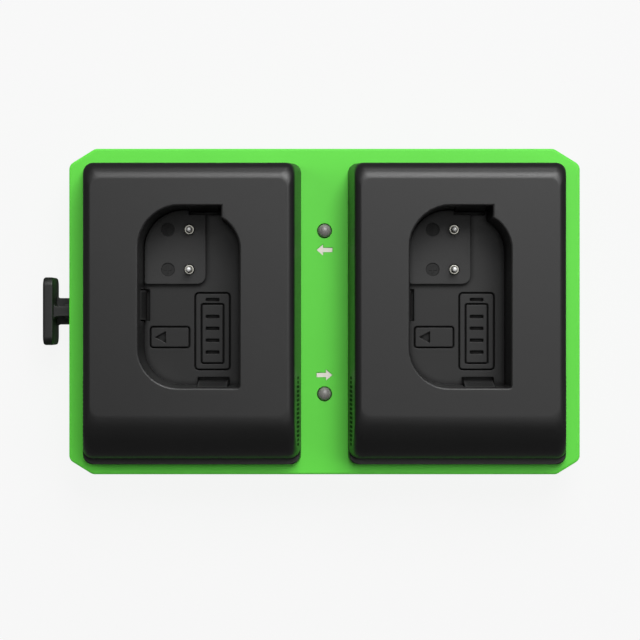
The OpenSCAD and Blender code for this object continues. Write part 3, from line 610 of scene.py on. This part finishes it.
@dataclass
class Circuit:
    """The boards and their parts, which the housing hides."""

    skins: Sequence[tuple[str, Finish]] = (
        ("main_board", SOLDER_MASK),
        ("left_contact_board", SOLDER_MASK),
        ("right_contact_board", SOLDER_MASK),
        ("left_plug", PLUG_NYLON),
        ("right_plug", PLUG_NYLON),
        ("left_header", CHIP_EPOXY),
        ("right_header", CHIP_EPOXY),
        ("charge_chips", CHIP_EPOXY),
        ("inductors", CHIP_EPOXY),
        ("capacitors", CAN_ALUMINIUM),
        ("lamp_chips", CHIP_WHITE),
        ("board_screws", ZINC),
        ("post_screw", ZINC),
    )

    def build(self) -> None:
        """Dresses every part of the circuit."""
        for node, finish in self.skins:
            SmoothSkin(node, finish).build()


@dataclass
class ContactPins:
    """The four spring pins, each with its barrel and its coil."""

    ends: Sequence[str] = ("back", "front")

    def build(self) -> None:
        """Dresses each pin on its own body, and its barrel and spring on the charger."""
        for side in Side:
            for end in self.ends:
                name = f"{side.value}_{end}"
                SmoothSkin(f"{name}_pin", NICKEL, Body(f"{name}_plunger")).build()
                SmoothSkin(f"{name}_barrel", BARREL_NICKEL).build()
                SmoothSkin(f"{name}_spring", SPRING_WIRE).build()


@dataclass
class GripDots:
    """An oval field of small dots on a plate's side wall, painted near black as the shade of pierced
    holes.

    The facing is 1 for the wall on the right of the plate and -1 for the one on its left,
    and the wall is looked for from far out on that side. The dots hardly stand out, so that
    no bump shows in the plate's outline.
    """

    plate: str
    facing: int
    rows: int = 16
    columns: int = 5
    pitch: float = 1.03 * MM
    dot_r: float = 0.4 * MM
    dot_t: float = 0.05 * MM
    field_length: float = 19.6 * MM
    field_width: float = 5.4 * MM
    middle_y: float = -23.2 * MM
    above_foot: float = 6.2 * MM
    far_out: float = 1.0

    def sizes(self) -> dict[str, float]:
        """Names the sizes that the node tree takes.

        Returns:
            Each input's name with its value in metres.
        """
        return {
            "Pitch": self.pitch,
            "Dot Radius": self.dot_r,
            "Dot Height": self.dot_t,
            "Field Length": self.field_length,
            "Field Width": self.field_width,
        }

    def tree(self) -> bpy.types.NodeTree:
        """Builds the node tree that lays a grid, keeps its oval middle and sets a dot on each point.

        Returns:
            A geometry node tree with its sizes as named inputs.
        """
        tree = bpy.data.node_groups.new("grip_dots", "GeometryNodeTree")
        tree.interface.new_socket("Geometry", in_out="INPUT", socket_type="NodeSocketGeometry")
        tree.interface.new_socket("Geometry", in_out="OUTPUT", socket_type="NodeSocketGeometry")
        for name in self.sizes():
            tree.interface.new_socket(name, in_out="INPUT", socket_type="NodeSocketFloat")
        size = add_node(tree, "NodeGroupInput").outputs
        length, width = (
            add_node(
                tree,
                "ShaderNodeMath",
                settings={"operation": "MULTIPLY"},
                values={1: float(count - 1)},
                links={0: size["Pitch"]},
            )
            for count in (self.rows, self.columns)
        )
        grid = add_node(
            tree,
            "GeometryNodeMeshGrid",
            values={"Vertices X": self.rows, "Vertices Y": self.columns},
            links={"Size X": length.outputs[0], "Size Y": width.outputs[0]},
        )
        field = add_node(
            tree,
            "ShaderNodeCombineXYZ",
            values={"Z": 1.0},
            links={"X": size["Field Length"], "Y": size["Field Width"]},
        )
        position = add_node(tree, "GeometryNodeInputPosition")
        # Divided by the field's sizes, the oval is a circle with a radius of a half
        squeezed = add_node(
            tree,
            "ShaderNodeVectorMath",
            settings={"operation": "DIVIDE"},
            links={0: position.outputs[0], 1: field.outputs[0]},
        )
        reach = add_node(
            tree,
            "ShaderNodeVectorMath",
            settings={"operation": "LENGTH"},
            links={0: squeezed.outputs[0]},
        )
        outside = add_node(
            tree,
            "FunctionNodeCompare",
            settings={"operation": "GREATER_THAN"},
            values={1: 0.5},
            links={0: reach.outputs["Value"]},
        )
        kept = add_node(
            tree,
            "GeometryNodeDeleteGeometry",
            links={"Geometry": grid.outputs["Mesh"], "Selection": outside.outputs[0]},
        )
        ball = add_node(
            tree,
            "GeometryNodeMeshUVSphere",
            values={"Segments": 12, "Rings": 6, "Radius": 1.0},
        )
        shape = add_node(
            tree,
            "ShaderNodeCombineXYZ",
            links={"X": size["Dot Radius"], "Y": size["Dot Radius"], "Z": size["Dot Height"]},
        )
        dots = add_node(
            tree,
            "GeometryNodeInstanceOnPoints",
            links={
                "Points": kept.outputs["Geometry"],
                "Instance": ball.outputs["Mesh"],
                "Scale": shape.outputs[0],
            },
        )
        real = add_node(tree, "GeometryNodeRealizeInstances", links={0: dots.outputs["Instances"]})
        painted = add_node(
            tree,
            "GeometryNodeSetMaterial",
            values={"Material": HOLE_SHADE_BLACK.build()},
            links={"Geometry": real.outputs[0]},
        )
        add_node(tree, "NodeGroupOutput", links={0: painted.outputs[0]})
        return tree

    def build(self) -> bpy.types.Object:
        """Lays the dots on the wall.

        Returns:
            The dots of one side wall, as one mesh.
        """
        name = f"{self.plate}_dots_{'right' if self.facing > 0 else 'left'}"
        piece = bpy.data.objects.new(name, bpy.data.meshes.new(name))
        bpy.context.scene.collection.objects.link(piece)
        layer = piece.modifiers.new("dots", "NODES")
        layer.node_group = self.tree()
        for size, value in self.sizes().items():
            layer[layer.node_group.interface.items_tree[size].identifier] = value
        piece.update_tag()
        settle(piece)
        place, outward = self.wall_point()
        along = Vector((0.0, 1.0, 0.0))
        across = outward.cross(along)
        turned = Matrix((along, across, outward)).transposed().to_4x4()
        piece.data.transform(Matrix.Translation(place) @ turned)
        for face in piece.data.polygons:
            face.use_smooth = True
        finished(piece, HOLE_SHADE_BLACK, Body.CHARGER)
        return piece

    def wall_point(self) -> tuple[Vector, Vector]:
        """Finds the middle of the field on the plate's side wall.

        Returns:
            The point on the wall and the wall's outward direction.
        """
        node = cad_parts[self.plate]
        solid = bmesh.new()
        solid.from_mesh(node.data)
        tree = BVHTree.FromBMesh(solid)
        solid.free()
        start = Vector((self.facing * self.far_out, self.middle_y, PLATE_FOOT_Z + self.above_foot))
        place, outward, _, _ = tree.ray_cast(start, Vector((-self.facing, 0, 0)))
        return place, outward


@dataclass
class Plate:
    """One battery plate with its contact block and grip dots.

    The lip is the narrow ledge along the front, between the two lip heights and in front of
    lip_back_y. A normal there that rises above lip_tilt is on the upper half of its round.
    """

    side: Side
    lip_foot: float = PLATE_FOOT_Z + 1.75 * MM
    lip_top: float = PLATE_FOOT_Z + 2.45 * MM
    lip_back_y: float = -34 * MM
    lip_tilt: float = 0.6

    def shade_lip(self, mesh: bpy.types.Mesh) -> None:
        """Shades the upper half of the rounded front lip as the narrow flat ledge that it reads as.

        Args:
            mesh: the plate's skin.
        """
        normals = [Vector(corner.vector) for corner in mesh.corner_normals]
        for index, corner in enumerate(mesh.loops):
            place = mesh.vertices[corner.vertex_index].co
            on_lip = self.lip_foot < place.z < self.lip_top and place.y < self.lip_back_y
            if on_lip and normals[index].z > self.lip_tilt:
                normals[index] = Vector((0.0, 0.0, 1.0))
        mesh.normals_split_custom_set(normals)

    def build(self) -> None:
        """Dresses the plate and its contact block, and lays the dots on both side walls."""
        skin = SmoothSkin(self.side.plate, BLACK_ABS).build()
        self.shade_lip(skin.data)
        SmoothSkin(f"{self.side.value}_contact_block", CONTACT_NYLON).build()
        for facing in (-1, 1):
            GripDots(self.side.plate, facing).build()


@dataclass(frozen=True)
class SoftLight:
    """A square soft light, with its place and side in metres and its power in watts.

    A light that isn't mirrored brightens the colours alone, and no surface reflects it.
    """

    name: str
    place: tuple[float, float, float]
    size: float
    power: float
    mirrored: bool = True

    def build(self, aim: Vector) -> None:
        """Hangs the light.

        Args:
            aim: the point that it faces.
        """
        data = bpy.data.lights.new(self.name, "AREA")
        data.size = self.size
        data.energy = self.power
        place = Vector(self.place)
        light = bpy.data.objects.new(self.name, data)
        light.location = place
        light.rotation_euler = (aim - place).to_track_quat("-Z", "Y").to_euler()
        light.visible_glossy = self.mirrored
        bpy.context.scene.collection.objects.link(light)


@dataclass
class Studio:
    """The floor, the soft lights and the camera above.

    The key hangs at the back right and the overhead panel just beside the camera. The two
    fills light the green edges on the left and right, and the low back rim draws the light
    lines along the back edges. The floor glows a little, so that it stays an even pale.
    """

    camera_x: float = 2.24 * MM
    camera_y: float = -1.99 * MM
    camera_above: float = 548 * MM
    top_plane: float = PLATE_FOOT_Z
    lens_mm: float = 130.9
    sensor_mm: float = 36.0
    clip_start: float = 0.01
    floor_size: float = 6.0
    floor_colour: str = "#303030"
    floor_glow: float = 0.89
    sky_strength: float = 0.07
    aim_z: float = 20 * MM
    lights: Sequence[SoftLight] = (
        SoftLight("key", (0.18, 0.59, 0.9), 0.6, 9.6),
        SoftLight("overhead", (0.21, 0.19, 1.0), 0.9, 2.3),
        SoftLight("left_fill", (-0.8, 0.3, 0.35), 0.4, 2.6, mirrored=False),
        SoftLight("right_fill", (0.8, -0.1, 0.35), 0.4, 1.5, mirrored=False),
        SoftLight("back_rim", (0.1, 0.8, 0.28), 0.3, 0.8),
    )

    def build_camera(self) -> None:
        """Puts the camera straight above, looking down with the back at the top of the picture."""
        data = bpy.data.cameras.new("camera")
        data.lens = self.lens_mm
        data.sensor_width = self.sensor_mm
        data.sensor_fit = "HORIZONTAL"
        data.clip_start = self.clip_start
        camera = bpy.data.objects.new("camera", data)
        camera.location = (self.camera_x, self.camera_y, self.top_plane + self.camera_above)
        bpy.context.scene.collection.objects.link(camera)
        bpy.context.scene.camera = camera

    def build_floor(self) -> None:
        """Lays the pale floor that the charger's feet stand on."""
        half = self.floor_size / 2
        corners = [(-half, -half, 0), (half, -half, 0), (half, half, 0), (-half, half, 0)]
        mesh = bpy.data.meshes.new("floor")
        mesh.from_pydata(corners, [], [(0, 1, 2, 3)])
        floor = bpy.data.objects.new("floor", mesh)
        bpy.context.scene.collection.objects.link(floor)
        paper = bpy.data.materials.new("pale_paper")
        paper.use_nodes = True
        shader = paper.node_tree.nodes["Principled BSDF"]
        shader.inputs["Base Color"].default_value = linear(self.floor_colour)
        shader.inputs["Roughness"].default_value = 0.9
        shader.inputs["Emission Color"].default_value = linear("#ffffff")
        shader.inputs["Emission Strength"].default_value = self.floor_glow
        floor.data.materials.append(paper)
        floor.visible_glossy = False

    def build_lights(self) -> None:
        """Hangs the soft lights round the charger, under a dim white sky."""
        for light in self.lights:
            light.build(Vector((0, 0, self.aim_z)))
        world = bpy.data.worlds.new("sky")
        world.use_nodes = True
        background = world.node_tree.nodes["Background"]
        background.inputs["Color"].default_value = linear("#ffffff")
        background.inputs["Strength"].default_value = self.sky_strength
        bpy.context.scene.world = world

    def build(self) -> None:
        """Builds the whole studio."""
        scene = bpy.context.scene
        scene.view_settings.view_transform = "Standard"
        self.build_camera()
        self.build_floor()
        self.build_lights()


def main() -> None:
    """Builds the studio and dresses every sub-assembly in order."""
    logging.basicConfig(level=logging.INFO, format="%(name)s: %(message)s")
    Studio().build()
    Housing().build()
    Circuit().build()
    ContactPins().build()
    for side in Side:
        Plate(side).build()


if __name__ == "__main__":
    main()
